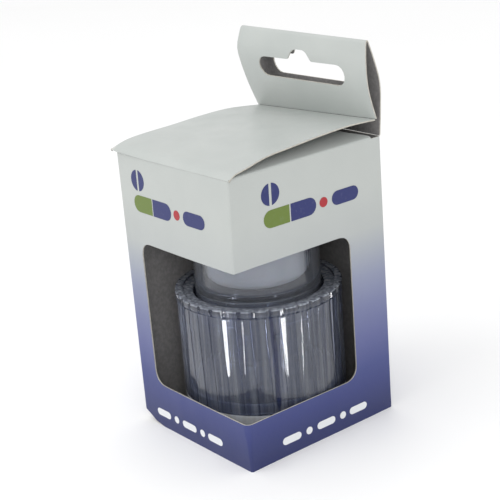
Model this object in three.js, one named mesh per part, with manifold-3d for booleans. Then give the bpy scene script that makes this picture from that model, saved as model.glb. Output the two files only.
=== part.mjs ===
// A screw-down pill crusher in its windowed tuck-end carton.
// Millimetres, +Z up. The origin is the centre of the carton's underside, and the carton's front faces -Y.
import * as THREE from "three";
import { mergeVertices } from "three/addons/utils/BufferGeometryUtils.js";
import Module from "manifold-3d";

const wasm = await Module();
wasm.setup();

// ---- Driving dimensions -------------------------------------------------------------------------

// Carton board and outer size.
const BOARD = 0.5;
const CARTON_W = 68;
const CARTON_D = 72;
const CARTON_H = 111;
const BOARD_GAP = 0.1;

// The window runs round the corner between the front and right panels.
const WINDOW_LOW = 18.7;
const WINDOW_HIGH = 77.4;
const WINDOW_FRONT_LEFT = -23.4;
const WINDOW_RIGHT_BACK = 17.9;
const WINDOW_CORNER_R = 5;

// Flaps that hold the carton together: the glued seam, and the bottom's tuck and dust flaps.
const SEAM_WIDTH = 12;
const SEAM_TAPER = 4;
const BOTTOM_TUCK_TOP = 14;
const BOTTOM_TUCK_INSET = 4;
const BOTTOM_SIDE_GAP = 0.2;
const BOTTOM_DUST = { root: 33.2, tip: 9, rootHalf: 34, tipHalf: 26 };

// The lid is bowed upwards over its sprung dust flaps. Its hinge crease is at the foot of the hang tab.
const LID_HALF_W = 33.6;
const LID_FRONT = { y: -35.4, z: 111.2 };
const LID_HINGE = { y: 34.3, z: 117.3 };
const LID_CROWN = 2.9;
const LID_CREASE_GAP = 1;
const LID_SEGMENTS = 10;
const LID_POINTS = 5;
const LID_TUCK_LENGTH = 12;
const LID_TUCK_INSET = 2;
const LID_TUCK_START = { in: 0.5, down: 0.75 };
const LID_TUCK_LEAN = 15;

const FLAP_LENGTH = 17;
const FLAP_LIFT = 14;
const FLAP_ROOT = { front: -25, back: 25 };
const FLAP_TIP = { front: -4, back: 13 };

// The hang tab is a loop of board: a back ply, a fold and a front ply, given as side outlines (y, z).
const TAB_HALF_W = 34;
const TAB_BACK_PLY = [[35.7, 111.3], [35.6, 122], [35.2, 131], [33.4, 141], [31.6, 146.8]];
const TAB_FRONT_PLY = [[34.1, 118], [32.3, 124], [29.9, 131], [28.8, 139], [29.2, 146.8]];
const TAB_FOLD = [[29.25, 147.15], [29.7, 148.3], [30.4, 148.7], [31.1, 148.3], [31.5, 147.15]];
const TAB_STEPS = 8;
const SLOT_HALF_LENGTH = 23;
const SLOT_LOW = 129.3;
const SLOT_HIGH = 136;
const SLOT_HUMP_TOP = 140.4;
const SLOT_HUMP_HALF_W = 6.2;
const SLOT_HUMP_STEEP = 2;
const SLOT_HUMP_ROUND = 3;
const SLOT_CUT = { from: 20, to: 40 };

// Crusher: the outer grip is a ring of flat panels with a groove between each pair.
const GRIP_R = 32.4;
const GRIP_WALL_R = 30;
const PANELS = 36;
const PANEL_OFFSET = 1;
const GROOVE_DEPTH = 0.8;
const GROOVE_HALF_ANGLE = 0.9;
const RIM_GAP_HALF_ANGLE = 1.4;
const GRIP_LOW = 14.3;
const RIM_LOW = 52.5;
const GRIP_TOP = 56.5;
const SHOULDER_THICK = 2.2;

// A round well in the shoulder takes the screw top, and a threaded neck hangs from the well's floor.
const WELL_R = 25.3;
const WELL_WALL = 1.8;
const WELL_FLOOR = 47.2;
const NECK_R = 15;
const NECK_WALL = 2;
const NECK_LOW = 30;
// The shoulder runs this far into the grip's wall.
const SHOULDER_ROOT = 0.6;

// Base cap and crushing cup.
const BASE_LOW = 1.4;
const BASE_R = 31.9;
const BASE_WALL = 1.8;
const BASE_RIM = 14;
const SPIGOT_RIM = 18;
const SPIGOT_WALL = 1.5;
const FOOT_EDGE = 1;
const FIT_GAP = 0.3;
// Pieces that are joined sink into each other by this much.
const ROOT = 0.3;
const CUP_R = 15.6;
const CUP_WALL = 1.6;
const CUP_RIM = 28;
const CUP_FLOOR = 5.6;
const CUP_RING = { gap: 0.3, wall: 1.2, rise: 3 };
const TOOTH_HEIGHT = 0.9;
const TEETH = 16;
const TOOTH_INNER_R = 2.5;
const TOOTH_SHARE = 0.28;
const TOOTH_EDGE_GAP = 1.5;

// Screw: a right-hand thread of this pitch, in ridges on the stem and in the neck.
const PITCH = 5;
const THREAD_STEPS = 36;
const STEM_R = 13.2;
const STEM_BORE_R = 9.4;
const STEM_RIDGE_R = 14.6;
const NECK_RIDGE_R = 13.6;
const STEM_RIDGE = { low: 27, turns: 4 };
const NECK_RIDGE = { low: 34.5, turns: 1.8 };
const RIDGE_ROOT_HALF = 0.85;
const RIDGE_TIP_HALF = 0.45;

// Pressing foot and screw top.
const FOOT_TIP = 12.4;
const FOOT_R = 15.1;
const FOOT_TOP = 17.6;
const STUD_R = 9;
const STUD_TOP = 34;
const STUD_EDGE = 1;
const STEM_LOW = 18;
const TOP_R = 24.5;
const TOP_BORE_R = 22.2;
const TOP_LOW = 53.4;
const TOP_FLOOR = 58.2;
const TOP_FLOOR_THICK = 2;
const TOP_RIM = 86.6;

// Storage cup and its lid.
const STORE_R = 20.4;
const STORE_WALL = 1.2;
const STORE_LOW = 59.3;
const STORE_EDGE_R = 3;
const STORE_FLANGE_R = 24.2;
const STORE_TOP = 88;
const STORE_LID_TOP = 90;
const STORE_PLUG_LOW = 83.5;
const STORE_PLUG_WALL = 1.2;
const STORE_INNER_EDGE = 1.5;
const STORE_EDGE_STEPS = 4;
// The broken edge on the rims of the screw top and the store lid.
const RIM_EDGE = 0.6;

const ROUND = 72;
const CUT_MARGIN = 1;

// ---- Materials ----------------------------------------------------------------------------------

const board = () => new THREE.MeshStandardMaterial({ color: 0xc9cdca, roughness: 0.55, metalness: 0 });
const printed = () => new THREE.MeshStandardMaterial({ color: 0x8286ad, roughness: 0.5, metalness: 0 });
const clear = () => new THREE.MeshStandardMaterial({ color: 0x9aa2b0, roughness: 0.12, metalness: 0 });
const white = () => new THREE.MeshStandardMaterial({ color: 0xe4e5e4, roughness: 0.35, metalness: 0 });

// ---- Geometry helpers ---------------------------------------------------------------------------

const rad = THREE.MathUtils.degToRad;

// A closed three.js geometry as a solid for joining and cutting, with its faces turned outwards.
function solid(geometry) {
  const bare = geometry.index ? geometry.toNonIndexed() : geometry.clone();
  bare.deleteAttribute("normal");
  bare.deleteAttribute("uv");
  const merged = mergeVertices(bare, 1e-4);
  const vertProperties = merged.attributes.position.array;
  const triVerts = new Uint32Array(merged.index.array);
  const make = () => new wasm.Manifold(new wasm.Mesh({ numProp: 3, vertProperties, triVerts }));
  const made = make();
  if (made.volume() >= 0) return made;
  for (let i = 0; i < triVerts.length; i += 3) {
    [triVerts[i + 1], triVerts[i + 2]] = [triVerts[i + 2], triVerts[i + 1]];
  }
  return make();
}

// A solid back as a three.js geometry.
function geometryOf(made) {
  const mesh = made.getMesh();
  const geometry = new THREE.BufferGeometry();
  geometry.setAttribute("position", new THREE.BufferAttribute(mesh.vertProperties, 3));
  geometry.setIndex(new THREE.BufferAttribute(mesh.triVerts, 1));
  geometry.computeVertexNormals();
  return geometry;
}

const joined = (...solids) => solids.reduce((whole, next) => whole.add(next));

function piece(name, made, material) {
  const mesh = new THREE.Mesh(geometryOf(made), material);
  mesh.name = name;
  return mesh;
}

// A box between two corners.
function block(x0, x1, y0, y1, z0, z1) {
  const geometry = new THREE.BoxGeometry(x1 - x0, y1 - y0, z1 - z0);
  geometry.translate((x0 + x1) / 2, (y0 + y1) / 2, (z0 + z1) / 2);
  return solid(geometry);
}

// A closed outline of [radius, z] points turned round the Z axis.
function turned(profile) {
  const points = profile.map(([r, z]) => new THREE.Vector2(r, z));
  points.push(points[0].clone());
  const geometry = new THREE.LatheGeometry(points, ROUND);
  geometry.rotateX(Math.PI / 2);
  return solid(geometry);
}

const tube = (rIn, rOut, z0, z1) => turned([[rIn, z0], [rOut, z0], [rOut, z1], [rIn, z1]]);

// A flat shape drawn in XY and raised from z0 to z1.
function raised(shape, z0, z1) {
  const settings = { depth: z1 - z0, bevelEnabled: false, curveSegments: 12 };
  const geometry = new THREE.ExtrudeGeometry(shape, settings);
  geometry.translate(0, 0, z0);
  return solid(geometry);
}

// A flat shape drawn in XZ and carried from y0 to y1.
function carriedAlongY(shape, y0, y1) {
  const settings = { depth: y1 - y0, bevelEnabled: false, curveSegments: 6 };
  const geometry = new THREE.ExtrudeGeometry(shape, settings);
  geometry.rotateX(Math.PI / 2);
  geometry.translate(0, y1, 0);
  return solid(geometry);
}

// A strip of board whose side outline is a smooth line through (y, z) points, 2 * halfWidth wide along X.
function ribbon(points, halfWidth, steps) {
  const line = new THREE.SplineCurve(points.map(([y, z]) => new THREE.Vector2(y, z)));
  const left = [];
  const right = [];
  for (let i = 0; i <= steps; i++) {
    const at = line.getPointAt(i / steps);
    const along = line.getTangentAt(i / steps);
    left.push(new THREE.Vector2(at.x - (along.y * BOARD) / 2, at.y + (along.x * BOARD) / 2));
    right.push(new THREE.Vector2(at.x + (along.y * BOARD) / 2, at.y - (along.x * BOARD) / 2));
  }
  const shape = new THREE.Shape([...right, ...left.reverse()]);
  const geometry = new THREE.ExtrudeGeometry(shape, { depth: 2 * halfWidth, bevelEnabled: false });
  // Shape x becomes Y, shape y becomes Z and the depth becomes X.
  geometry.applyMatrix4(new THREE.Matrix4().makeBasis(
    new THREE.Vector3(0, 1, 0),
    new THREE.Vector3(0, 0, 1),
    new THREE.Vector3(1, 0, 0),
  ));
  geometry.translate(-halfWidth, 0, 0);
  return solid(geometry);
}

// A right-hand thread ridge of trapezoid section between radius root and radius tip.
function threadRidge(root, tip, low, turns) {
  const section = new THREE.Shape();
  section.moveTo(root, -RIDGE_ROOT_HALF);
  section.lineTo(tip, -RIDGE_TIP_HALF);
  section.lineTo(tip, RIDGE_TIP_HALF);
  section.lineTo(root, RIDGE_ROOT_HALF);
  section.closePath();
  const steps = Math.round(turns * THREAD_STEPS);
  const geometry = new THREE.ExtrudeGeometry(section, { depth: 1, steps, bevelEnabled: false });
  const position = geometry.attributes.position;
  for (let i = 0; i < position.count; i++) {
    const share = position.getZ(i);
    const angle = share * turns * 2 * Math.PI;
    const r = position.getX(i);
    const height = low + position.getY(i) + share * turns * PITCH;
    position.setXYZ(i, r * Math.cos(angle), r * Math.sin(angle), height);
  }
  return solid(geometry);
}

// Low wedge-shaped teeth standing on a disc, pointing up or down.
function teeth(r, z, height) {
  const wedge = new THREE.Shape();
  const half = rad(360 / TEETH) * TOOTH_SHARE;
  wedge.moveTo(TOOTH_INNER_R * Math.cos(half), -TOOTH_INNER_R * Math.sin(half));
  wedge.lineTo(r * Math.cos(half), -r * Math.sin(half));
  wedge.lineTo(r * Math.cos(half), r * Math.sin(half));
  wedge.lineTo(TOOTH_INNER_R * Math.cos(half), TOOTH_INNER_R * Math.sin(half));
  wedge.closePath();
  const low = Math.min(z, z + height);
  const one = raised(wedge, low, low + Math.abs(height));
  return joined(...Array.from({ length: TEETH }, (_, i) => one.rotate([0, 0, (i * 360) / TEETH])));
}

// ---- Crusher ------------------------------------------------------------------------------------

// Outline of the panelled grip: each panel is a flat between two grooves.
function panelOutline(grooveHalf) {
  const shape = new THREE.Shape();
  const step = 360 / PANELS;
  const corner = (angle, radius) => [radius * Math.cos(rad(angle)), radius * Math.sin(rad(angle))];
  for (let i = 0; i < PANELS; i++) {
    const middle = i * step + PANEL_OFFSET;
    const edge = step / 2 - grooveHalf;
    const first = corner(middle - edge, GRIP_R);
    if (i === 0) shape.moveTo(...first);
    else shape.lineTo(...first);
    shape.lineTo(...corner(middle + edge, GRIP_R));
    shape.lineTo(...corner(middle + edge + grooveHalf * 0.5, GRIP_R - GROOVE_DEPTH));
    shape.lineTo(...corner(middle + edge + grooveHalf * 1.5, GRIP_R - GROOVE_DEPTH));
  }
  shape.closePath();
  const bore = new THREE.Path();
  bore.absarc(0, 0, GRIP_WALL_R, 0, 2 * Math.PI, true);
  shape.holes.push(bore);
  return shape;
}

function gripBody() {
  const skirt = raised(panelOutline(GROOVE_HALF_ANGLE), GRIP_LOW, RIM_LOW + ROOT);
  const rim = raised(panelOutline(RIM_GAP_HALF_ANGLE), RIM_LOW, GRIP_TOP);
  const wellOuter = WELL_R + WELL_WALL;
  const neckOuter = NECK_R + NECK_WALL;
  const shoulderAndWell = turned([
    [GRIP_WALL_R + SHOULDER_ROOT, GRIP_TOP - SHOULDER_THICK],
    [GRIP_WALL_R + SHOULDER_ROOT, GRIP_TOP],
    [WELL_R, GRIP_TOP],
    [WELL_R, WELL_FLOOR],
    [NECK_R, WELL_FLOOR],
    [NECK_R, NECK_LOW],
    [neckOuter, NECK_LOW],
    [neckOuter, WELL_FLOOR - NECK_WALL],
    [wellOuter, WELL_FLOOR - NECK_WALL],
    [wellOuter, GRIP_TOP - SHOULDER_THICK],
  ]);
  const ridge = threadRidge(NECK_R + ROOT, NECK_RIDGE_R, NECK_RIDGE.low, NECK_RIDGE.turns);
  return joined(skirt, rim, shoulderAndWell, ridge);
}

function baseCap() {
  const floorTop = BASE_LOW + BASE_WALL;
  const spigotR = GRIP_WALL_R - FIT_GAP;
  const shell = turned([
    [0, BASE_LOW],
    [BASE_R - FOOT_EDGE, BASE_LOW],
    [BASE_R, BASE_LOW + FOOT_EDGE],
    [BASE_R, BASE_RIM],
    [spigotR, BASE_RIM],
    [spigotR, SPIGOT_RIM],
    [spigotR - SPIGOT_WALL, SPIGOT_RIM],
    [spigotR - SPIGOT_WALL, floorTop],
    [0, floorTop],
  ]);
  const ringR = CUP_R + CUP_WALL + CUP_RING.gap;
  const locating = tube(ringR, ringR + CUP_RING.wall, floorTop - ROOT, floorTop + CUP_RING.rise);
  return joined(shell, locating);
}

function crushingCup() {
  const low = BASE_LOW + BASE_WALL + FIT_GAP;
  const outer = CUP_R + CUP_WALL;
  const cup = turned([
    [0, low],
    [outer, low],
    [outer, CUP_RIM],
    [CUP_R, CUP_RIM],
    [CUP_R, CUP_FLOOR],
    [0, CUP_FLOOR],
  ]);
  return joined(cup, teeth(CUP_R - TOOTH_EDGE_GAP, CUP_FLOOR - ROOT, TOOTH_HEIGHT + ROOT));
}

function pressingFoot() {
  const under = FOOT_TIP + TOOTH_HEIGHT;
  const body = turned([
    [0, under],
    [FOOT_R, under],
    [FOOT_R, FOOT_TOP],
    [STUD_R, FOOT_TOP],
    [STUD_R, STUD_TOP - STUD_EDGE],
    [STUD_R - STUD_EDGE, STUD_TOP],
    [0, STUD_TOP],
  ]);
  return joined(body, teeth(FOOT_R - TOOTH_EDGE_GAP, under + ROOT, -(TOOTH_HEIGHT + ROOT)));
}

function screwTop() {
  const floorLow = TOP_FLOOR - TOP_FLOOR_THICK;
  const body = turned([
    [0, floorLow],
    [STEM_BORE_R, floorLow],
    [STEM_BORE_R, STEM_LOW],
    [STEM_R, STEM_LOW],
    [STEM_R, floorLow],
    [TOP_BORE_R, floorLow],
    [TOP_BORE_R, TOP_LOW],
    [TOP_R, TOP_LOW],
    [TOP_R, TOP_RIM - RIM_EDGE],
    [TOP_R - RIM_EDGE, TOP_RIM],
    [TOP_BORE_R, TOP_RIM],
    [TOP_BORE_R, TOP_FLOOR],
    [0, TOP_FLOOR],
  ]);
  return joined(body, threadRidge(STEM_R - ROOT, STEM_RIDGE_R, STEM_RIDGE.low, STEM_RIDGE.turns));
}

function storeCup() {
  const inner = STORE_R - STORE_WALL;
  const profile = [[0, STORE_LOW]];
  for (let i = 0; i <= STORE_EDGE_STEPS; i++) {
    const a = rad((i / STORE_EDGE_STEPS - 1) * 90);
    profile.push([
      STORE_R - STORE_EDGE_R + STORE_EDGE_R * Math.cos(a),
      STORE_LOW + STORE_EDGE_R + STORE_EDGE_R * Math.sin(a),
    ]);
  }
  profile.push(
    [STORE_R, TOP_RIM + FIT_GAP],
    [STORE_FLANGE_R, TOP_RIM + FIT_GAP],
    [STORE_FLANGE_R, STORE_TOP],
    [inner, STORE_TOP],
    [inner, STORE_LOW + STORE_WALL + STORE_INNER_EDGE],
    [inner - STORE_INNER_EDGE, STORE_LOW + STORE_WALL],
    [0, STORE_LOW + STORE_WALL],
  );
  return turned(profile);
}

function storeLid() {
  const plugR = STORE_R - STORE_WALL - FIT_GAP;
  const underside = STORE_TOP + FIT_GAP;
  return turned([
    [0, underside],
    [plugR - STORE_PLUG_WALL, underside],
    [plugR - STORE_PLUG_WALL, STORE_PLUG_LOW],
    [plugR, STORE_PLUG_LOW],
    [plugR, underside],
    [STORE_FLANGE_R, underside],
    [STORE_FLANGE_R, STORE_LID_TOP - RIM_EDGE],
    [STORE_FLANGE_R - RIM_EDGE, STORE_LID_TOP],
    [0, STORE_LID_TOP],
  ]);
}

// ---- Carton -------------------------------------------------------------------------------------

const HALF_W = CARTON_W / 2;
const HALF_D = CARTON_D / 2;
const WALL_LOW = BOARD + BOARD_GAP;
const SIDE_END = HALF_D - BOARD - BOARD_GAP;

// A window cut in the XZ plane, round-cornered at its `from` end and running out past `to`.
function windowCut(from, to) {
  const away = Math.sign(to - from);
  const shape = new THREE.Shape();
  shape.moveTo(to, WINDOW_LOW);
  shape.lineTo(from + away * WINDOW_CORNER_R, WINDOW_LOW);
  shape.quadraticCurveTo(from, WINDOW_LOW, from, WINDOW_LOW + WINDOW_CORNER_R);
  shape.lineTo(from, WINDOW_HIGH - WINDOW_CORNER_R);
  shape.quadraticCurveTo(from, WINDOW_HIGH, from + away * WINDOW_CORNER_R, WINDOW_HIGH);
  shape.lineTo(to, WINDOW_HIGH);
  shape.closePath();
  return shape;
}

function frontPanel() {
  const panel = block(-HALF_W, HALF_W, -HALF_D, -HALF_D + BOARD, WALL_LOW, CARTON_H);
  const cut = carriedAlongY(
    windowCut(WINDOW_FRONT_LEFT, HALF_W + CUT_MARGIN),
    -HALF_D - CUT_MARGIN,
    -HALF_D + BOARD + CUT_MARGIN,
  );
  return panel.subtract(cut);
}

function rightPanel() {
  const panel = block(HALF_W - BOARD, HALF_W, -SIDE_END, SIDE_END, WALL_LOW, CARTON_H);
  // The cut is drawn along X and then turned to lie along Y.
  const cut = carriedAlongY(
    windowCut(WINDOW_RIGHT_BACK, -SIDE_END - CUT_MARGIN),
    -CUT_MARGIN,
    BOARD + CUT_MARGIN,
  ).rotate([0, 0, 90]).translate([HALF_W, 0, 0]);
  return panel.subtract(cut);
}

const backPanel = () => block(-HALF_W, HALF_W, HALF_D - BOARD, HALF_D, WALL_LOW, CARTON_H);
const leftPanel = () => block(-HALF_W, -HALF_W + BOARD, -SIDE_END, SIDE_END, WALL_LOW, CARTON_H);

// The glued seam flap folds off the left panel and lies inside the back panel.
function glueFlap() {
  const outerFace = HALF_D - BOARD - BOARD_GAP;
  const x0 = -HALF_W + BOARD + BOARD_GAP;
  return block(x0, x0 + SEAM_WIDTH, outerFace - BOARD, outerFace, SEAM_TAPER, CARTON_H - SEAM_TAPER);
}

function bottomPanel() {
  const halfWidth = HALF_W - BOTTOM_SIDE_GAP;
  return block(-halfWidth, halfWidth, -HALF_D, HALF_D, 0, BOARD);
}

function bottomTuckFlap() {
  const y0 = -HALF_D + BOARD + BOARD_GAP;
  const halfWidth = HALF_W - BOTTOM_TUCK_INSET;
  return block(-halfWidth, halfWidth, y0, y0 + BOARD, WALL_LOW, BOTTOM_TUCK_TOP);
}

function bottomDustFlap(side) {
  const { root, tip, rootHalf, tipHalf } = BOTTOM_DUST;
  const shape = new THREE.Shape([
    new THREE.Vector2(side * root, -rootHalf),
    new THREE.Vector2(side * root, rootHalf),
    new THREE.Vector2(side * tip, tipHalf),
    new THREE.Vector2(side * tip, -tipHalf),
  ]);
  return raised(shape, WALL_LOW, WALL_LOW + BOARD);
}

// The bowed lid, from its front crease to the hinge crease at the foot of the hang tab.
function lidPanel() {
  const { y: y0, z: z0 } = LID_FRONT;
  const { y: y1, z: z1 } = LID_HINGE;
  const points = Array.from({ length: LID_POINTS }, (_, i) => {
    const share = i / (LID_POINTS - 1);
    const crown = LID_CROWN * 4 * share * (1 - share);
    return [y0 + (y1 - LID_CREASE_GAP - y0) * share, z0 + (z1 - z0) * share + crown];
  });
  return ribbon(points, LID_HALF_W, LID_SEGMENTS);
}

function lidTuckFlap() {
  const lean = rad(LID_TUCK_LEAN);
  const top = [LID_FRONT.y + LID_TUCK_START.in, LID_FRONT.z - LID_TUCK_START.down];
  const low = [top[0] + LID_TUCK_LENGTH * Math.sin(lean), top[1] - LID_TUCK_LENGTH * Math.cos(lean)];
  return ribbon([top, low], LID_HALF_W - LID_TUCK_INSET, 1);
}

// A top dust flap, sprung up a little from flat, on the right (+1) or the left (-1) panel.
function topDustFlap(side) {
  const shape = new THREE.Shape([
    new THREE.Vector2(0, FLAP_ROOT.front),
    new THREE.Vector2(0, FLAP_ROOT.back),
    new THREE.Vector2(-FLAP_LENGTH, FLAP_TIP.back),
    new THREE.Vector2(-FLAP_LENGTH, FLAP_TIP.front),
  ]);
  const flat = raised(shape, 0, BOARD).rotate([0, FLAP_LIFT, 0]);
  const onRight = flat.translate([HALF_W - BOARD, 0, CARTON_H + BOARD_GAP]);
  return side > 0 ? onRight : onRight.mirror([1, 0, 0]);
}

// The hanging slot, a long round-ended slot with a hump for the hook.
function slotCut() {
  const r = (SLOT_HIGH - SLOT_LOW) / 2;
  const middle = (SLOT_HIGH + SLOT_LOW) / 2;
  const shape = new THREE.Shape();
  shape.moveTo(-SLOT_HALF_LENGTH + r, SLOT_LOW);
  shape.lineTo(SLOT_HALF_LENGTH - r, SLOT_LOW);
  shape.absarc(SLOT_HALF_LENGTH - r, middle, r, -Math.PI / 2, Math.PI / 2, false);
  shape.lineTo(SLOT_HUMP_HALF_W, SLOT_HIGH);
  const steep = SLOT_HUMP_HALF_W - SLOT_HUMP_STEEP;
  const round = SLOT_HUMP_HALF_W - SLOT_HUMP_ROUND;
  shape.bezierCurveTo(steep, SLOT_HUMP_TOP, round, SLOT_HUMP_TOP, 0, SLOT_HUMP_TOP);
  shape.bezierCurveTo(-round, SLOT_HUMP_TOP, -steep, SLOT_HUMP_TOP, -SLOT_HUMP_HALF_W, SLOT_HIGH);
  shape.lineTo(-SLOT_HALF_LENGTH + r, SLOT_HIGH);
  shape.absarc(-SLOT_HALF_LENGTH + r, middle, r, Math.PI / 2, (3 * Math.PI) / 2, false);
  return carriedAlongY(shape, SLOT_CUT.from, SLOT_CUT.to);
}

const tabPly = (outline) => ribbon(outline, TAB_HALF_W, TAB_STEPS).subtract(slotCut());

// ---- Assembly -----------------------------------------------------------------------------------

const carton = new THREE.Group();
carton.add(
  piece("carton_front_panel", frontPanel(), printed()),
  piece("carton_right_panel", rightPanel(), printed()),
  piece("carton_back_panel", backPanel(), printed()),
  piece("carton_left_panel", leftPanel(), printed()),
  piece("carton_glue_flap", glueFlap(), board()),
  piece("carton_bottom_panel", bottomPanel(), printed()),
  piece("carton_bottom_tuck_flap", bottomTuckFlap(), board()),
  piece("carton_bottom_dust_flap_left", bottomDustFlap(-1), board()),
  piece("carton_bottom_dust_flap_right", bottomDustFlap(1), board()),
  piece("lid_panel", lidPanel(), board()),
  piece("lid_tuck_flap", lidTuckFlap(), board()),
  piece("top_dust_flap_left", topDustFlap(-1), board()),
  piece("top_dust_flap_right", topDustFlap(1), board()),
  piece("hang_tab_back_ply", tabPly(TAB_BACK_PLY), board()),
  piece("hang_tab_fold", ribbon(TAB_FOLD, TAB_HALF_W, TAB_STEPS), board()),
  piece("hang_tab_front_ply", tabPly(TAB_FRONT_PLY), board()),
);

const crusher = new THREE.Group();
crusher.add(
  piece("grip_body", gripBody(), clear()),
  piece("base_cap", baseCap(), clear()),
  piece("crushing_cup", crushingCup(), clear()),
  piece("pressing_foot", pressingFoot(), white()),
  piece("screw_top", screwTop(), clear()),
  piece("store_cup", storeCup(), white()),
  piece("store_lid", storeLid(), white()),
);

const boxedCrusher = new THREE.Group();
boxedCrusher.add(carton, crusher);

export default boxedCrusher;
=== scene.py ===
import math

import bmesh
import bpy
from mathutils import Matrix, Vector


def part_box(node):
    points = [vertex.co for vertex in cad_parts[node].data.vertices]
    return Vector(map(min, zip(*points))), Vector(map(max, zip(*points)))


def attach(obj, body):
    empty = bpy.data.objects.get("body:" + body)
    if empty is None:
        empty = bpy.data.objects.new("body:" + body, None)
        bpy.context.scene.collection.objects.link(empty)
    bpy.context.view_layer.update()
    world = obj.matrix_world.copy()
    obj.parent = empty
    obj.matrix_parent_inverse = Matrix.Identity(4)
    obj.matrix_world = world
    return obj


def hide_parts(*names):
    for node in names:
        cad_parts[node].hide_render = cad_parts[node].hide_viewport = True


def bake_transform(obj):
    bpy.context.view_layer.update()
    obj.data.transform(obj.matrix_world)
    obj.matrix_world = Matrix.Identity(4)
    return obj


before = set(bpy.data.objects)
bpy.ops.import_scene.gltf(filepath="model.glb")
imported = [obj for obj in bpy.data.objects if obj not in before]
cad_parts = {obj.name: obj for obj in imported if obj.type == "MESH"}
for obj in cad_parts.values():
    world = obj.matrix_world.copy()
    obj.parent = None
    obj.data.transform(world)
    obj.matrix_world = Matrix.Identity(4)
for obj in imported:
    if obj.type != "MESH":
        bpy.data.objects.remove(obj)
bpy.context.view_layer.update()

MM = 0.001
TAU = 2 * math.pi

# ---- Sizes taken from the frame -----------------------------------------------------------------

front_low, front_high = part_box("carton_front_panel")
left_low, left_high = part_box("carton_left_panel")
HALF_W = front_high.x
HALF_D = -front_low.y
CARTON_TOP = front_high.z
BOARD = left_high.x - left_low.x


def round_sizes(node):
    """The radius, foot and top of a CAD node that stands round the Z axis."""
    low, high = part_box(node)
    return high.x, low.z, high.z


BASE_R, BASE_LOW, SPIGOT_TOP = round_sizes("base_cap")
CUP_R, CUP_LOW, CUP_RIM = round_sizes("crushing_cup")
FOOT_R, FOOT_TIP, STUD_TOP = round_sizes("pressing_foot")
HEAD_R, STEM_LOW, HEAD_RIM = round_sizes("screw_top")
FLANGE_R, STORE_LOW, STORE_TOP = round_sizes("store_cup")
COVER_R, PLUG_LOW, COVER_TOP = round_sizes("store_lid")
GRIP_LOW, GRIP_TOP = (corner.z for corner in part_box("grip_body"))

# ---- Small helpers ------------------------------------------------------------------------------


def mixed(a, b, share):
    return a + (b - a) * share


def eased(low, high, value):
    """0 below low, 1 above high, smooth between."""
    share = min(max((value - low) / (high - low), 0.0), 1.0)
    return share * share * (3 - 2 * share)


def paint(red, green, blue):
    """A screen colour in 0 to 255 as the linear colour that a shader takes."""
    def linear(value):
        value /= 255
        return value / 12.92 if value <= 0.04045 else ((value + 0.055) / 1.055) ** 2.4

    return (linear(red), linear(green), linear(blue), 1.0)


# ---- Materials ----------------------------------------------------------------------------------


class Finish:
    """One node material under construction. Patterns read Object coordinates in metres."""

    def __init__(self, name):
        self.material = bpy.data.materials.new(name)
        self.material.use_nodes = True
        self.tree = self.material.node_tree
        self.shader = self.tree.nodes["Principled BSDF"]
        self.place = self.node("ShaderNodeTexCoord").outputs["Object"]

    def node(self, kind, **settings):
        made = self.tree.nodes.new(kind)
        for key, value in settings.items():
            setattr(made, key, value)
        return made

    def feed(self, target, source):
        if isinstance(source, bpy.types.NodeSocket):
            self.tree.links.new(source, target)
        else:
            target.default_value = source

    def set(self, socket, source):
        self.feed(self.shader.inputs[socket], source)

    def maths(self, operation, a, b=0.0, clamp=False):
        made = self.node("ShaderNodeMath", operation=operation, use_clamp=clamp)
        self.feed(made.inputs[0], a)
        self.feed(made.inputs[1], b)
        return made.outputs[0]

    def stretched(self, scale):
        made = self.node("ShaderNodeMapping")
        self.feed(made.inputs["Vector"], self.place)
        made.inputs["Scale"].default_value = scale
        return made.outputs["Vector"]

    def noise(self, size, detail=3.0, scale=(1, 1, 1), roughness=0.5):
        """Noise whose features are about size metres across, 0 to 1."""
        made = self.node("ShaderNodeTexNoise")
        self.feed(made.inputs["Vector"], self.stretched(scale))
        made.inputs["Scale"].default_value = 1 / size
        made.inputs["Detail"].default_value = detail
        made.inputs["Roughness"].default_value = roughness
        return made.outputs["Fac"]

    def remap(self, value, low, high, to_low=0.0, to_high=1.0):
        made = self.node("ShaderNodeMapRange", interpolation_type="SMOOTHSTEP")
        self.feed(made.inputs["Value"], value)
        for key, number in (("From Min", low), ("From Max", high), ("To Min", to_low), ("To Max", to_high)):
            made.inputs[key].default_value = number
        return made.outputs["Result"]

    def ramp(self, value, stops):
        made = self.node("ShaderNodeValToRGB")
        self.feed(made.inputs["Fac"], value)
        elements = made.color_ramp.elements
        while len(elements) < len(stops):
            elements.new(0.5)
        for element, (position, colour) in zip(elements, stops):
            element.position = position
            element.color = colour
        return made.outputs["Color"]

    def blended(self, share, a, b, mode="MIX"):
        made = self.node("ShaderNodeMix", data_type="RGBA", blend_type=mode)
        self.feed(made.inputs["Factor"], share)
        self.feed(made.inputs["A"], a)
        self.feed(made.inputs["B"], b)
        return made.outputs["Result"]

    def laid_over(self, base, colour, mask, share):
        """The base with a colour over it where the mask is 1, by that share at most."""
        return self.blended(self.maths("MULTIPLY", mask, share), base, colour)

    def coordinate(self, axis):
        split = self.node("ShaderNodeSeparateXYZ")
        self.feed(split.inputs[0], self.place)
        return split.outputs[axis]

    def bump(self, height, distance, strength=1.0):
        made = self.node("ShaderNodeBump")
        made.inputs["Distance"].default_value = distance
        made.inputs["Strength"].default_value = strength
        self.feed(made.inputs["Height"], height)
        self.set("Normal", made.outputs["Normal"])


def specks(finish, size, amount):
    """Sparse small dark marks: 1 on a mark."""
    return finish.remap(finish.noise(size, 2.0), 1 - amount, 1 - amount + 0.04)


# Ink and coating rub off along the upright folds, from this far in to this near the edge.
RUB_START = 0.7 * MM
RUB_FULL = 0.1 * MM


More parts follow.
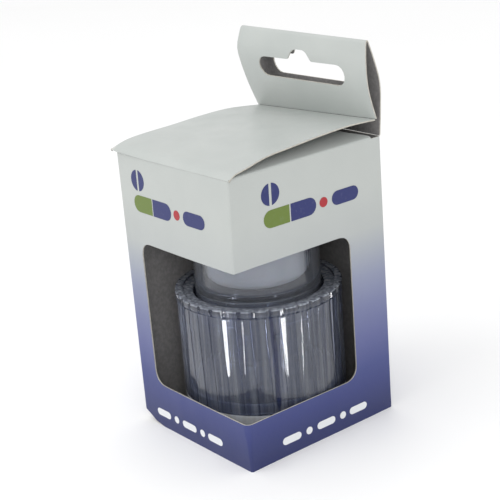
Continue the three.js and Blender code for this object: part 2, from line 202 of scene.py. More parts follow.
def coated_board(name, base):
    """The printed, clay-coated face of the board, where base(finish) gives the ink colour."""
    finish = Finish(name)
    tone = base(finish)
    cloud = finish.remap(finish.noise(22 * MM, 4.0), 0.3, 0.75)
    dusk = finish.blended(1.0, tone, paint(206, 208, 210), "MULTIPLY")
    tone = finish.laid_over(tone, dusk, cloud, 0.10)
    tone = finish.laid_over(tone, paint(120, 122, 128), finish.noise(0.5 * MM, 3.0), 0.05)
    tone = finish.laid_over(tone, paint(110, 108, 104), specks(finish, 1.6 * MM, 0.215), 0.35)
    near_fold = [
        finish.remap(finish.maths("ABSOLUTE", finish.coordinate(axis)), half - RUB_START, half - RUB_FULL)
        for axis, half in (("X", HALF_W), ("Y", HALF_D))
    ]
    patchy = finish.remap(finish.noise(3 * MM, 5.0, (1, 1, 0.3)), 0.35, 0.7)
    worn = finish.maths("MULTIPLY", finish.maths("MULTIPLY", *near_fold), patchy)
    finish.set("Base Color", finish.laid_over(tone, paint(214, 212, 206), worn, 0.45))
    finish.set("Roughness", finish.remap(finish.noise(9 * MM, 5.0, (1, 1, 0.4)), 0.2, 0.8, 0.30, 0.46))
    finish.set("IOR", 1.5)
    waves = finish.maths("MULTIPLY", finish.noise(14 * MM, 2.0), 3.0)
    finish.bump(finish.maths("ADD", finish.noise(1.3 * MM, 4.0), waves), 0.05 * MM, 0.55)
    return finish.material


def sky_to_ink(finish):
    """Pale grey at the top of the wall, through lavender, to deep blue at its foot."""
    height = finish.maths("DIVIDE", finish.coordinate("Z"), CARTON_TOP)
    return finish.ramp(height, [
        (0.03, paint(26, 36, 92)),
        (0.07, paint(31, 42, 100)),
        (0.13, paint(42, 52, 113)),
        (0.20, paint(56, 66, 124)),
        (0.31, paint(86, 92, 141)),
        (0.42, paint(108, 114, 152)),
        (0.53, paint(132, 138, 163)),
        (0.63, paint(156, 161, 169)),
        (0.70, paint(172, 176, 175)),
        (0.85, paint(179, 183, 180)),
    ])


def plain_pale(finish):
    tone = finish.remap(finish.noise(30 * MM, 2.0), 0.3, 0.7)
    return finish.blended(tone, paint(177, 182, 179), paint(184, 188, 185))


def raw_board(name, colour, fibre):
    """Uncoated board: pulp fibres, flecks and a soft matt surface."""
    finish = Finish(name)
    long_fibres = finish.remap(finish.noise(1.1 * MM, 6.0, (1, 1, 0.8)), 0.3, 0.7)
    base = finish.blended(long_fibres, colour, fibre)
    flecks = specks(finish, 1.0 * MM, 0.27)
    finish.set("Base Color", finish.laid_over(base, paint(74, 66, 58), flecks, 0.5))
    finish.set("Roughness", finish.remap(finish.noise(2 * MM), 0.2, 0.8, 0.78, 0.95))
    finish.bump(finish.noise(0.6 * MM, 5.0), 0.06 * MM, 0.6)
    return finish.material


def ink(name, colour):
    """Offset ink, rubbed a little thin in places."""
    finish = Finish(name)
    rub = finish.noise(1.4 * MM, 4.0)
    thin = finish.remap(rub, 0.5, 0.9, 0.0, 0.10)
    finish.set("Base Color", finish.blended(thin, colour, paint(150, 156, 170)))
    finish.set("Roughness", finish.remap(rub, 0.2, 0.8, 0.30, 0.42))
    return finish.material


def clear_plastic(name, tint, roughness, clarity, ripple=0.6):
    """Clear moulded styrene, with upright draw lines from the mould in its bump, handling scuffs, and pale
    upright streaks in its colour that are painted highlights.
    """
    finish = Finish(name)
    # Painted highlight: pale upright streaks blended into the tint stand for the bright reflections along
    # the flutes.
    painted_highlight_streaks = finish.remap(finish.noise(1.8 * MM, 2.0, (1, 1, 0.03)), 0.38, 0.68, 0.0, 0.75)
    finish.set("Base Color", finish.blended(painted_highlight_streaks, tint, paint(214, 220, 230)))
    scuffs = finish.remap(finish.noise(2.2 * MM, 6.0, (1, 1, 0.4)), 0.52, 0.74)
    finish.set("Roughness", finish.maths("ADD", roughness, finish.maths("MULTIPLY", scuffs, 0.05)))
    finish.set("Transmission Weight", clarity)
    finish.set("IOR", 1.45)
    finish.set("Coat Weight", 0.15)
    finish.set("Coat Roughness", 0.04)
    finish.set("Coat IOR", 1.5)
    draw_lines = finish.noise(1.4 * MM, 2.0, (1, 1, 0.04))
    waves = finish.noise(4 * MM, 2.0, (1, 1, 0.3))
    finish.bump(finish.maths("ADD", draw_lines, waves), 0.10 * MM, ripple)
    return finish.material


def white_plastic(name, colour, lighter):
    """Opaque white polypropylene with a satin mould finish."""
    finish = Finish(name)
    cloud = finish.remap(finish.noise(8 * MM, 3.0), 0.3, 0.7)
    finish.set("Base Color", finish.blended(cloud, colour, lighter))
    finish.set("Roughness", finish.remap(finish.noise(1.2 * MM, 4.0), 0.25, 0.8, 0.28, 0.42))
    finish.set("Subsurface Weight", 0.12)
    finish.set("Subsurface Scale", 0.8 * MM)
    finish.bump(finish.noise(0.35 * MM, 2.0), 0.02 * MM, 0.4)
    return finish.material


PRINT = coated_board("printed_coated_face", sky_to_ink)
PALE = coated_board("pale_coated_face", plain_pale)
RAW = raw_board("grey_board_back", paint(124, 122, 122), paint(138, 136, 135))
EDGE = raw_board("cut_board_edge", paint(170, 166, 156), paint(190, 187, 178))
NAVY = ink("navy_ink", paint(22, 33, 96))
GREEN = ink("green_ink", paint(94, 114, 38))
RED = ink("red_ink", paint(158, 26, 36))
WHITE_INK = ink("white_ink", paint(222, 224, 226))
CLEAR = clear_plastic("clear_grip_plastic", paint(136, 144, 170), 0.03, 0.90)
CLEAR_RIM = clear_plastic("clear_rim_plastic", paint(140, 146, 160), 0.20, 0.40, 0.1)
CLEAR_PLAIN = clear_plastic("clear_plain_panel_plastic", paint(76, 86, 128), 0.03, 0.85)
CLEAR_HEAD = clear_plastic("clear_head_plastic", paint(214, 218, 228), 0.03, 0.93)
CLEAR_INNER = clear_plastic("clear_inner_plastic", paint(152, 160, 178), 0.20, 0.85)
CLEAR_BASE = clear_plastic("clear_base_plastic", paint(200, 202, 206), 0.12, 0.35)
CLEAR_RIB = clear_plastic("clear_rib_plastic", paint(58, 68, 122), 0.12, 0.5)
WHITE = white_plastic("white_cup_plastic", paint(224, 224, 222), paint(234, 233, 231))
# Painted shade: the pressing foot is milky white plastic, but its colour is darkened to the dim tone it has
# in the shade inside the grip.
FOOT_PLASTIC_PAINTED_SHADE = white_plastic("milky_foot_plastic_painted_shade", paint(84, 89, 100), paint(98, 103, 114))

# ---- Making pieces ------------------------------------------------------------------------------


def object_of(name, bm, materials):
    """The bmesh made an object at the origin, with its materials."""
    mesh = bpy.data.meshes.new(name)
    bm.to_mesh(mesh)
    bm.free()
    for material in materials:
        mesh.materials.append(material)
    made = bpy.data.objects.new(name, mesh)
    bpy.context.scene.collection.objects.link(made)
    return made


def smoothed(mesh, crisp=35):
    """Smooth shading, with folds sharper than crisp degrees left sharp."""
    mesh.shade_smooth()
    mesh.set_sharp_from_angle(angle=math.radians(crisp))


def entered(slot, nodes):
    """Hides the CAD nodes that a piece stands for; slot is not used."""
    if nodes:
        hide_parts(*nodes)


def finished(name, bm, materials, body, slot, nodes=(), crisp=35):
    """Turns a bmesh into a piece that rides on a body and stands for CAD nodes."""
    piece = object_of(name, bm, materials)
    smoothed(piece.data, crisp)
    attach(piece, body)
    entered(slot, nodes)


def cut_lines(bm, along, places):
    """Adds an edge line across the flat sheet at each place along X (0) or Y (1)."""
    normal = Vector((1, 0, 0)) if along == 0 else Vector((0, 1, 0))
    for at in places:
        everything = bm.verts[:] + bm.edges[:] + bm.faces[:]
        bmesh.ops.bisect_plane(bm, geom=everything, dist=1e-7, plane_co=normal * at, plane_no=normal)


def steps_between(low, high, pitch):
    count = max(1, round((high - low) / pitch))
    return [mixed(low, high, i / count) for i in range(1, count)]


def flat_sheet(rings):
    """A flat sheet in XY from its outline and any holes."""
    bm = bmesh.new()
    for ring in rings:
        corners = [bm.verts.new((u, v, 0)) for u, v in ring]
        for a, b in zip(corners, corners[1:] + corners[:1]):
            bm.edges.new((a, b))
    bmesh.ops.triangle_fill(bm, use_beauty=True, use_dissolve=False, edges=bm.edges[:], normal=(0, 0, 1))
    return bm


def folded_board(name, rings, us, vs, place, body, slot, nodes, outer=PALE, flip=False, crease=None):
    """A die-cut sheet of board, folded by place(u, v), its coated face outwards and cut edges all round.

    A sheet given a crease as (body, start, end) is left where it is, not attached to any body; the crease
    itself is not used.
    """
    bm = flat_sheet(rings)
    cut_lines(bm, 0, us)
    cut_lines(bm, 1, vs)
    for vert in bm.verts:
        vert.co = place(vert.co.x, vert.co.y)
    if flip:
        bmesh.ops.reverse_faces(bm, faces=bm.faces[:])
    piece = object_of(name, bm, (outer, RAW, EDGE))
    wall = piece.modifiers.new("board", "SOLIDIFY")
    wall.thickness = BOARD
    wall.offset = -1
    wall.use_even_offset = True
    wall.material_offset = 1
    wall.material_offset_rim = 2
    settled = piece.evaluated_get(bpy.context.evaluated_depsgraph_get())
    solid = bpy.data.meshes.new_from_object(settled)
    piece.modifiers.clear()
    piece.data = solid
    smoothed(solid)
    if crease:
        other, start, end = crease
        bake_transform(piece)
        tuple(start)
        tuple(end)
    else:
        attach(piece, body)
    entered(slot, nodes)


def arc(centre, radius, start, end, steps=6):
    """Points on an arc in degrees."""
    return [
        (
            centre[0] + radius * math.cos(math.radians(mixed(start, end, i / steps))),
            centre[1] + radius * math.sin(math.radians(mixed(start, end, i / steps))),
        )
        for i in range(steps + 1)
    ]


def softened(points, radius, steps=4):
    """A closed outline of (x, y) or (x, y, own radius) points with its corners rounded."""
    made = []
    count = len(points)
    for i, point in enumerate(points):
        here = Vector(point[:2])
        before = Vector(points[i - 1][:2]) - here
        after = Vector(points[(i + 1) % count][:2]) - here
        r = point[2] if len(point) > 2 else radius
        reach = min(r, before.length * 0.45, after.length * 0.45)
        if reach < 1e-6:
            made.append(tuple(here))
            continue
        start = here + before.normalized() * reach
        end = here + after.normalized() * reach
        for k in range(steps + 1):
            share = k / steps
            bend = start.lerp(here, share).lerp(here.lerp(end, share), share)
            made.append(tuple(bend))
    return made


# A multiple of the grip's panels, so that the folds of the base cap's panels fall on its columns.
ROUND_STEPS = 144


def turned(outline, steps=ROUND_STEPS):
    """A closed outline of (radius, z) spun round the Z axis."""
    bm = bmesh.new()
    corners = [bm.verts.new((r, 0, z)) for r, z in outline]
    edges = [bm.edges.new((a, b)) for a, b in zip(corners, corners[1:] + corners[:1])]
    on_axis = [e for e in edges if all(v.co.x < 1e-6 for v in e.verts)]
    edges = [e for e in edges if e not in on_axis]
    for edge in on_axis:
        bm.edges.remove(edge)
    bmesh.ops.spin(
        bm, geom=bm.verts[:] + edges, cent=(0, 0, 0), axis=(0, 0, 1), dvec=(0, 0, 0),
        angle=TAU, steps=steps, use_merge=True, use_duplicate=False,
    )
    bmesh.ops.remove_doubles(bm, verts=bm.verts[:], dist=1e-7)
    bmesh.ops.recalc_face_normals(bm, faces=bm.faces[:])
    return bm


PITCH = 5 * MM
RIDGE_STEPS = 60
RIDGE_ROOT_HALF = 0.85 * MM
RIDGE_TIP_HALF = 0.45 * MM


def thread(root, tip, low, turns):
    """A right-hand thread ridge, swept up round the Z axis."""
    bm = bmesh.new()
    wide, narrow = RIDGE_ROOT_HALF, RIDGE_TIP_HALF
    section = [(root, -wide), (tip, -narrow), (tip, narrow), (root, wide)]
    face = bm.faces.new([bm.verts.new((r, 0, low + h)) for r, h in section])
    total = round(turns * RIDGE_STEPS)
    bmesh.ops.spin(
        bm, geom=[face], cent=(0, 0, 0), axis=(0, 0, 1), dvec=(0, 0, PITCH * turns / total),
        angle=TAU * turns, steps=total, use_merge=False, use_duplicate=True,
    )
    bmesh.ops.remove_doubles(bm, verts=bm.verts[:], dist=1e-7)
    bmesh.ops.recalc_face_normals(bm, faces=bm.faces[:])
    return bm


def scaled(points):
    """Millimetre points in metres."""
    return [tuple(value * MM for value in point) for point in points]


# ---- Camera -------------------------------------------------------------------------------------


CAMERA_AT = (0.357, -0.2894, 0.2295)
CAMERA_TURN = math.radians(51.24)
CAMERA_RISE = math.radians(19.23)
CAMERA_ROLL = math.radians(-4.66)


def point_camera():
    data = bpy.data.cameras.new("camera")
    data.sensor_width = 36
    data.lens = 91.3
    data.clip_start = 0.01
    camera = bpy.data.objects.new("camera", data)
    bpy.context.scene.collection.objects.link(camera)
    back = Vector((
        math.sin(CAMERA_TURN) * math.cos(CAMERA_RISE),
        -math.cos(CAMERA_TURN) * math.cos(CAMERA_RISE),
        math.sin(CAMERA_RISE),
    ))
    level = (-back).to_track_quat("-Z", "Y").to_matrix().to_4x4()
    camera.matrix_world = Matrix.Translation(CAMERA_AT) @ level @ Matrix.Rotation(CAMERA_ROLL, 4, "Z")
    bpy.context.scene.camera = camera


point_camera()

# ---- Carton sleeve ------------------------------------------------------------------------------

# u runs round the walls from the seam at the back left corner: left, front, right, back.
LEFT_END = 2 * HALF_D
FRONT_END = LEFT_END + 2 * HALF_W
RIGHT_END = FRONT_END + 2 * HALF_D
BACK_END = RIGHT_END + 2 * HALF_W
FOLD_R = 0.9 * MM
FOLD_SPAN = 2.6 * MM
FOLD_STEPS = 8
BELLY = 0.35 * MM
WINDOW_LOW = 18.7 * MM
WINDOW_HIGH = 77.4 * MM
WINDOW_CORNER = 6 * MM
WINDOW_LEFT = LEFT_END + HALF_W - 23.4 * MM
WINDOW_RIGHT = FRONT_END + HALF_D + 17.9 * MM
SILL_FOLD_R = 2.6 * MM
SILL_LOW = 8 * MM
SILL_HIGH = WINDOW_LOW + 12 * MM
CORNERS = [(-HALF_W, HALF_D), (-HALF_W, -HALF_D), (HALF_W, -HALF_D), (HALF_W, HALF_D)]
WALLS = [
    (0.0, LEFT_END, Vector((0, -1, 0)), Vector((-1, 0, 0))),
    (LEFT_END, FRONT_END, Vector((1, 0, 0)), Vector((0, -1, 0))),
    (FRONT_END, RIGHT_END, Vector((0, 1, 0)), Vector((1, 0, 0))),
    (RIGHT_END, BACK_END, Vector((-1, 0, 0)), Vector((0, 1, 0))),
]
CUT_HIGH = 4.6 * MM
CUT_LONG = 9.5 * MM
CUT_REACH = 16 * MM
SLIP = Vector((-1.1, -0.5, 0)) * MM
SLIP_WAIST = 0.8


def dented(point):
    """The foot's front left corner is knocked up into a slanting nick."""
    away = math.hypot(point.x + HALF_W, point.y + HALF_D)
    nick = CUT_HIGH * max(1 - away / CUT_LONG, 0)
    above = max(1 - point.z / CUT_REACH, 0)
    return point + Vector((0, 0, 1)) * nick * above


def skewed(point):
    """The carton stands a little out of square: its near corner has slipped along the front."""
    share = eased(-HALF_W, HALF_W, point.x) * eased(-HALF_D, HALF_D, -point.y)
    waist = math.sin(math.pi * min(max(point.z / CARTON_TOP, 0), 1))
    return point + SLIP * share * (1 + SLIP_WAIST * waist)


def near_fold_radius(z):
    """The fold between front and right is crisp, and opens out a little at the sill of the window."""
    opened = eased(SILL_LOW, WINDOW_LOW, z) * (1 - eased(WINDOW_LOW, SILL_HIGH, z))
    return mixed(FOLD_R, SILL_FOLD_R, opened)


def wall_place(u, z, lift=0.0):
    """A point on the outer face of the walls, lifted off it along the wall's own outward direction."""
    index = next(i for i, wall in enumerate(WALLS) if u <= wall[1] + 1e-9)
    start, end, along, out = WALLS[index]
    corner = Vector((*CORNERS[index], 0))
    share = (u - start) / (end - start)
    near, far = u - start, end - u
    belly = math.sin(math.pi * share) * math.sin(math.pi * min(max(z / CARTON_TOP, 0), 1))
    lift += BELLY * belly
    point = corner + along * near + out * lift
    for gap, sign in ((near, -1), (far, 1)):
        at_near_corner = (index, sign) in ((1, 1), (2, -1))
        radius = near_fold_radius(z) if at_near_corner else FOLD_R
        if gap < radius:
            # The outer face rounds each fold with a small arc.
            angle = (1 - gap / radius) * math.pi / 4
            centre_at = radius if sign < 0 else (end - start) - radius
            centre = corner + along * centre_at - out * radius
            turn = out * math.cos(angle) + along * sign * math.sin(angle)
            point = centre + turn * (radius + lift)
    point.z = z
    return skewed(dented(point))


def carton_sleeve():
    outline = [(0, 0), (BACK_END, 0), (BACK_END, CARTON_TOP), (0, CARTON_TOP)]
    window = softened([
        (WINDOW_LEFT, WINDOW_LOW), (WINDOW_RIGHT, WINDOW_LOW),
        (WINDOW_RIGHT, WINDOW_HIGH), (WINDOW_LEFT, WINDOW_HIGH),
    ], WINDOW_CORNER, 7)
    us = [LEFT_END, FRONT_END, RIGHT_END]
    for start, end, _, _ in WALLS:
        for step in range(1, FOLD_STEPS + 1):
            near_fold = FOLD_SPAN * step / FOLD_STEPS
            us += [start + near_fold, end - near_fold]
        us += steps_between(start + FOLD_SPAN, end - FOLD_SPAN, 5 * MM)
    vs = steps_between(0, CARTON_TOP, 4.2 * MM)
    folded_board(
        "carton_sleeve", [outline, window], us, vs, wall_place, "carton", "printed_board",
        ["carton_front_panel", "carton_right_panel", "carton_back_panel", "carton_left_panel"],
        outer=PRINT,
    )


carton_sleeve()


def glue_flap():
    low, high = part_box("carton_glue_flap")
    taper = 3 * MM
    rings = [[(low.x, low.z), (high.x, low.z + taper), (high.x, high.z - taper), (low.x, high.z)]]
    folded_board(
        "glued_seam_flap", rings, [], [], lambda u, v: Vector((u, high.y, v)), "carton", "raw_board",
        ["carton_glue_flap"], outer=PALE, flip=True,
    )


FOOT_PITCH = 4 * MM


def foot_flap(node, slot, outline, place, **extra):
    """A board of the carton's foot, which stands for the CAD node that it is named after."""
    us, vs = ([point[axis] for point in outline] for axis in (0, 1))
    folded_board(
        node.removeprefix("carton_"), [outline], steps_between(min(us), max(us), FOOT_PITCH),
        steps_between(min(vs), max(vs), FOOT_PITCH), lambda u, v: skewed(dented(place(u, v))),
        "carton", slot, [node], **extra,
    )


def carton_foot():
    low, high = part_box("carton_bottom_panel")
    inset = 2.2 * MM
    x, y = high.x - inset, high.y - inset
    outline = softened([(-x, -y), (x, -y), (x, y), (-x, y)], 1.5 * MM)
    foot_flap(
        "carton_bottom_panel", "printed_board", outline, lambda u, v: Vector((u, v, 0)),
        outer=PRINT, flip=True,
    )
    low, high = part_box("carton_bottom_tuck_flap")
    taper, round_end = 2 * MM, 6 * MM
    outline = softened([
        (low.x, low.z), (high.x, low.z),
        (high.x - taper, high.z, round_end), (low.x + taper, high.z, round_end),
    ], 0.2 * MM, 5)
    tuck_y = low.y
    foot_flap("carton_bottom_tuck_flap", "raw_board", outline, lambda u, v: Vector((u, tuck_y, v)))
    for side in ("left", "right"):
        node = "carton_bottom_dust_flap_" + side
        low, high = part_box(node)
        root, tip = (high.x, low.x) if side == "right" else (low.x, high.x)
        taper, round_end = 8 * MM, 3 * MM
        outline = softened([
            (root, low.y), (root, high.y), (tip, high.y - taper, round_end), (tip, low.y + taper, round_end),
        ], 0.3 * MM)
        foot_z = low.z
        foot_flap(node, "raw_board", outline, lambda u, v: Vector((u, v, foot_z)), flip=side == "right")


glue_flap()
carton_foot()

# ---- Hang tab, lid and dust flaps ---------------------------------------------------------------


def curve_through(points, share):
    """A smooth curve through (a, b) points, by its share of the way along them."""
    last = len(points) - 1
    at = min(max(share, 0.0), 1.0) * last
    i = min(int(at), last - 1)
    t = at - i
    p0, p1, p2, p3 = (Vector(points[min(max(k, 0), last)]) for k in (i - 1, i, i + 1, i + 2))
    return 0.5 * (2 * p1 + (p2 - p0) * t + (2 * p0 - 5 * p1 + 4 * p2 - p3) * t * t
                  + (3 * p1 - p0 - 3 * p2 + p3) * t ** 3)


# Side outlines (y, z) of the looped strap's outer face at its left and right ends. The loop is a little
# twisted, so its left end leans further forward and its front crease is lower there.
BACK_PLY = (
    scaled([(36.0, 111.2), (36.3, 121), (36.4, 131), (34.2, 140), (31.6, 146.4)]),
    scaled([(36.0, 111.2), (36.9, 121), (37.1, 131), (34.6, 140), (32.3, 146.0)]),
)
TOP_FOLD = (
    scaled([(31.6, 146.4), (31.1, 147.5), (30.1, 147.9), (29.1, 147.5), (28.5, 146.4)]),
    scaled([(32.3, 146.0), (31.9, 147.0), (31.3, 147.4), (30.7, 147.0), (30.4, 146.0)]),
)
FRONT_PLY = (
    scaled([(28.5, 146.4), (26.4, 140), (27.8, 133), (31.0, 124), (35.1, 114.8)]),
    scaled([(30.4, 146.0), (30.0, 139), (30.4, 131), (31.9, 124.5), (34.1, 117.8)]),
)
PLY_LENGTHS = (36 * MM, 4.4 * MM, 30 * MM)
SLOT_LOW = 129.3 * MM
SLOT_HALF_LENGTH = 23 * MM
# Half widths of the slot's hook hump at its foot, at its waist and at its top.
HUMP_FOOT, HUMP_WAIST, HUMP_CROWN = 7.6 * MM, 6.2 * MM, 3.4 * MM


def by_height(points, z):
    """The point at that height on a curve whose height only rises or only falls."""
    low, high = 0.0, 1.0
    rising = points[-1][1] > points[0][1]
    for _ in range(24):
        middle = (low + high) / 2
        above = curve_through(points, middle).y > z
        if above == rising:
            high = middle
        else:
            low = middle
    return curve_through(points, (low + high) / 2)


def ply_point(ply, x, share):
    """A point of the twisted ply, by its share of the ply's height."""
    ends = [by_height(side, mixed(side[0][1], side[-1][1], share)) for side in ply]
    at = ends[0].lerp(ends[1], (x / HALF_W + 1) / 2)
    return Vector((x, at.x, at.y))


def ply_share(ply, x, z):
    """The share of the ply's height at which it passes height z."""
    across = (x / HALF_W + 1) / 2
    start = mixed(ply[0][0][1], ply[1][0][1], across)
    end = mixed(ply[0][-1][1], ply[1][-1][1], across)
    return (z - start) / (end - start)


def strap_place(x, t):
    back, fold, front = PLY_LENGTHS
    if t <= back:
        return ply_point(BACK_PLY, x, t / back)
    if t >= back + fold:
        return ply_point(FRONT_PLY, x, (t - back - fold) / front)
    ends = [curve_through(side, (t - back) / fold) for side in TOP_FOLD]
    at = ends[0].lerp(ends[1], (x / HALF_W + 1) / 2)
    return Vector((x, at.x, at.y))


def hanging_slot(high, hump, shift, strap_length):
    """The slot with its hook hump, on the ply where strap_length(x, z) is the length along the strap."""
    half, end_r = SLOT_HALF_LENGTH, (high - SLOT_LOW) / 2
    middle = (SLOT_LOW + high) / 2
    outline = arc((half - end_r, middle), end_r, -90, 90, 8)
    rising = [(HUMP_FOOT, high, 0), (HUMP_WAIST, high, 1.5 * MM), (HUMP_CROWN, hump, 3 * MM)]
    falling = [(-x, z, r) for x, z, r in reversed(rising)]
    outline += softened([(shift + x, z, r) for x, z, r in rising + falling], 0, 5)
    outline += arc((-half + end_r, middle), end_r, 90, 270, 8)
    return [(x, strap_length(x, z)) for x, z in outline]


def length_on_back(x, z):
    return PLY_LENGTHS[0] * ply_share(BACK_PLY, x, z)


def length_on_front(x, z):
    return PLY_LENGTHS[0] + PLY_LENGTHS[1] + PLY_LENGTHS[2] * ply_share(FRONT_PLY, x, z)


def hang_tab():
    back, fold, front = PLY_LENGTHS
    total = back + fold + front
    outline = [(-HALF_W, 0), (HALF_W, 0), (HALF_W, total), (-HALF_W, total)]
    rings = [
        outline,
        hanging_slot(138.0 * MM, 142.0 * MM, -3.5 * MM, length_on_back),
        hanging_slot(137.3 * MM, 141.4 * MM, 0, length_on_front),
    ]
    vs = steps_between(0, back, 2.2 * MM) + [back + fold * k / FOLD_STEPS for k in range(FOLD_STEPS + 1)]
    vs += steps_between(back + fold, total, 2.2 * MM)
    folded_board(
        "hang_tab_strap", rings, steps_between(-HALF_W, HALF_W, 6 * MM), vs, strap_place,
        "hang_tab", "coated_board", ["hang_tab_back_ply", "hang_tab_fold", "hang_tab_front_ply"], flip=True,
        crease=("carton", (0, 0, CARTON_TOP), (0, 0, CARTON_TOP + 3 * MM)),
    )


# The lid's outer face along its left and right edges, as (y, z), from the front fold to the hinge crease.
LID_LEFT = scaled([(-37.6, 112.2), (-34.5, 114.0), (-29, 115.1), (-20, 115.6), (-9, 115.9), (4, 116.5),
                   (19, 116.5), (34.9, 114.8)])
LID_RIGHT = scaled([(-36.6, 111.1), (-33.9, 112.9), (-29, 113.9), (-19, 116.0), (-7, 116.9), (8, 117.9),
                    (21, 118.3), (34.0, 117.7)])
TUCK = 12 * MM
TUCK_LEAN = math.radians(15)
LID_DEPTH = 72 * MM
# The tuck flap hangs from this line, a little inside the front wall's top edge.
TUCK_ROOT = Vector((0, -HALF_D + 1.1 * MM, CARTON_TOP - 0.2 * MM))
TUCK_BEND = 1.6 * MM
SPRUNG_OUT = 1.6 * MM


def lid_place(x, v):
    """v runs from the tuck flap's free edge, up over the front fold and back to the hinge crease."""
    share = (x / HALF_W + 1) / 2
    along = max(v - TUCK, 0) / LID_DEPTH
    at = curve_through(LID_LEFT, along).lerp(curve_through(LID_RIGHT, along), share)
    # Only the left end of the front fold has sprung up: the rest lies down on the wall's edge.
    sprung = 1 - eased(0, 0.3, share)
    settle = (1 - eased(0, 0.12, along)) * (1 - sprung)
    at.y = mixed(at.y, curve_through(LID_RIGHT, along).y, settle)
    at.x = mixed(at.x, curve_through(LID_RIGHT, along).x, settle)
    point = Vector((x - SPRUNG_OUT * sprung * (1 - eased(0, 0.15, along)), at.x, at.y))
    if v < TUCK:
        reach = TUCK - v
        hang = Vector((0, math.sin(TUCK_LEAN), -math.cos(TUCK_LEAN)))
        tucked = TUCK_ROOT + Vector((x, 0, 0)) + hang * reach
        point = point.lerp(tucked, eased(0, TUCK_BEND, reach))
    return point


def lid():
    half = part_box("lid_panel")[1].x
    tuck = half - 2 * MM
    outline = softened([
        (-tuck, 0, 5 * MM), (tuck, 0, 5 * MM), (tuck, TUCK * 0.9, 0.2 * MM), (half, TUCK, 0.4 * MM),
        (half, TUCK + LID_DEPTH, 0), (-half, TUCK + LID_DEPTH, 0), (-half, TUCK, 0.4 * MM),
        (-tuck, TUCK * 0.9, 0.2 * MM),
    ], 0, 4)
    vs = steps_between(0, TUCK, 3 * MM) + [TUCK - 0.4 * MM * step for step in range(5)]
    vs += steps_between(TUCK, TUCK + LID_DEPTH, 1.5 * MM)
    folded_board(
        "lid_with_tuck_flap", [outline], steps_between(-half, half, 4 * MM), vs, lid_place,
        "lid", "coated_board", ["lid_panel", "lid_tuck_flap"],
        crease=("hang_tab", (0, 34.5 * MM, 0), (0, 29 * MM, 0)),
    )


def dust_flap(side, word, lift):
    """A dust flap that curls over from the side wall's top crease and springs up by lift degrees."""
    length, curl = 17 * MM, 1.2 * MM
    rise = math.radians(lift)
    front, back = -34.6 * MM, 31 * MM
    rings = [softened([
        (0, front, 0), (0, back, 0), (2 * MM, back, 1 * MM), (length, back - 14 * MM, 2 * MM),
        (length, front + 28 * MM, 2 * MM), (3 * MM, front + 0.6 * MM, 2 * MM),
    ], 0)]

    def place(u, v):
        # The fold turns the upright wall over to the flap's own slope.
        turn = math.pi / 2 - rise
        share = min(u / curl, 1.0)
        angle = turn * share
        r = curl / turn
        inward = r * (1 - math.cos(angle)) + max(u - curl, 0) * math.cos(rise)
        up = r * math.sin(angle) + max(u - curl, 0) * math.sin(rise)
        return skewed(Vector((side * (HALF_W - inward), v, CARTON_TOP - 0.1 * MM + up)))

    us = [curl * step / 4 for step in range(1, 5)] + steps_between(curl, length, 2 * MM)
    folded_board(
        "dust_flap_" + word, rings, us, steps_between(front, back, 5 * MM), place,
        "dust_flap_" + word, "coated_board",
        ["top_dust_flap_" + word], flip=side > 0,
        crease=("carton", (side * HALF_W, 0, 0), (side * (HALF_W - curl), 0, 0)),
    )


hang_tab()
lid()
dust_flap(1, "right", 16)
dust_flap(-1, "left", 9)

# ---- Printed marks ------------------------------------------------------------------------------

INK_LIFT = 0.03 * MM
INK_THICK = 0.04 * MM
# A scored tablet over a row of a two-coloured capsule, a small round tablet and an oblong tablet.
SCORED_R, SCORED_Z = 4.1 * MM, 102 * MM
SCORE_HALF_ANGLE = 8
ROW_Z = 93 * MM
CAPSULE_LONG, CAPSULE_HIGH = 24 * MM, 6.6 * MM
CAPSULE_GAP = 0.3 * MM
ROUND_R = 1.9 * MM
OBLONG_LONG, OBLONG_HIGH = 13 * MM, 5.4 * MM
# The row near the foot: (place along the wall, length) of each mark, and the row's height and thickness.
FOOT_ROW = scaled([(-16, 9), (-7.5, 3), (1, 9), (9.5, 3), (17.5, 9)])
FOOT_ROW_Z, FOOT_ROW_HIGH = 6.2 * MM, 3 * MM


def printed_mark(name, outline, centre, material):
    """A thin ink shape on the wall: outline points are offsets from the centre (u, z)."""
    bm = flat_sheet([[(centre[0] + u, centre[1] + v) for u, v in outline]])
    cut_lines(bm, 0, [centre[0] + offset * MM for offset in range(-20, 21, 2)])
    cut_lines(bm, 1, [centre[1] + offset * MM for offset in range(-4, 5, 2)])
    raised = bmesh.ops.extrude_face_region(bm, geom=bm.faces[:], use_keep_orig=True)["geom"]
    upper = [g for g in raised if isinstance(g, bmesh.types.BMVert)]
    bmesh.ops.translate(bm, verts=upper, vec=(0, 0, INK_THICK))
    for vert in bm.verts:
        vert.co = wall_place(vert.co.x, vert.co.y, INK_LIFT + vert.co.z)
    bmesh.ops.recalc_face_normals(bm, faces=bm.faces[:])
    finished(name, bm, [material], "carton", "printed_board", crisp=20)


def capsule(length, height):
    """A round-ended bar centred on its own middle."""
    r = height / 2
    return arc((length / 2 - r, 0), r, -90, 90, 10) + arc((-length / 2 + r, 0), r, 90, 270, 10)


def half_capsule(side):
    r = CAPSULE_HIGH / 2
    end = arc((CAPSULE_LONG / 2 - r, 0), r, -90, 90, 10)
    shape = [(CAPSULE_GAP, -r)] + end + [(CAPSULE_GAP, r)]
    return shape if side > 0 else [(-u, v) for u, v in reversed(shape)]


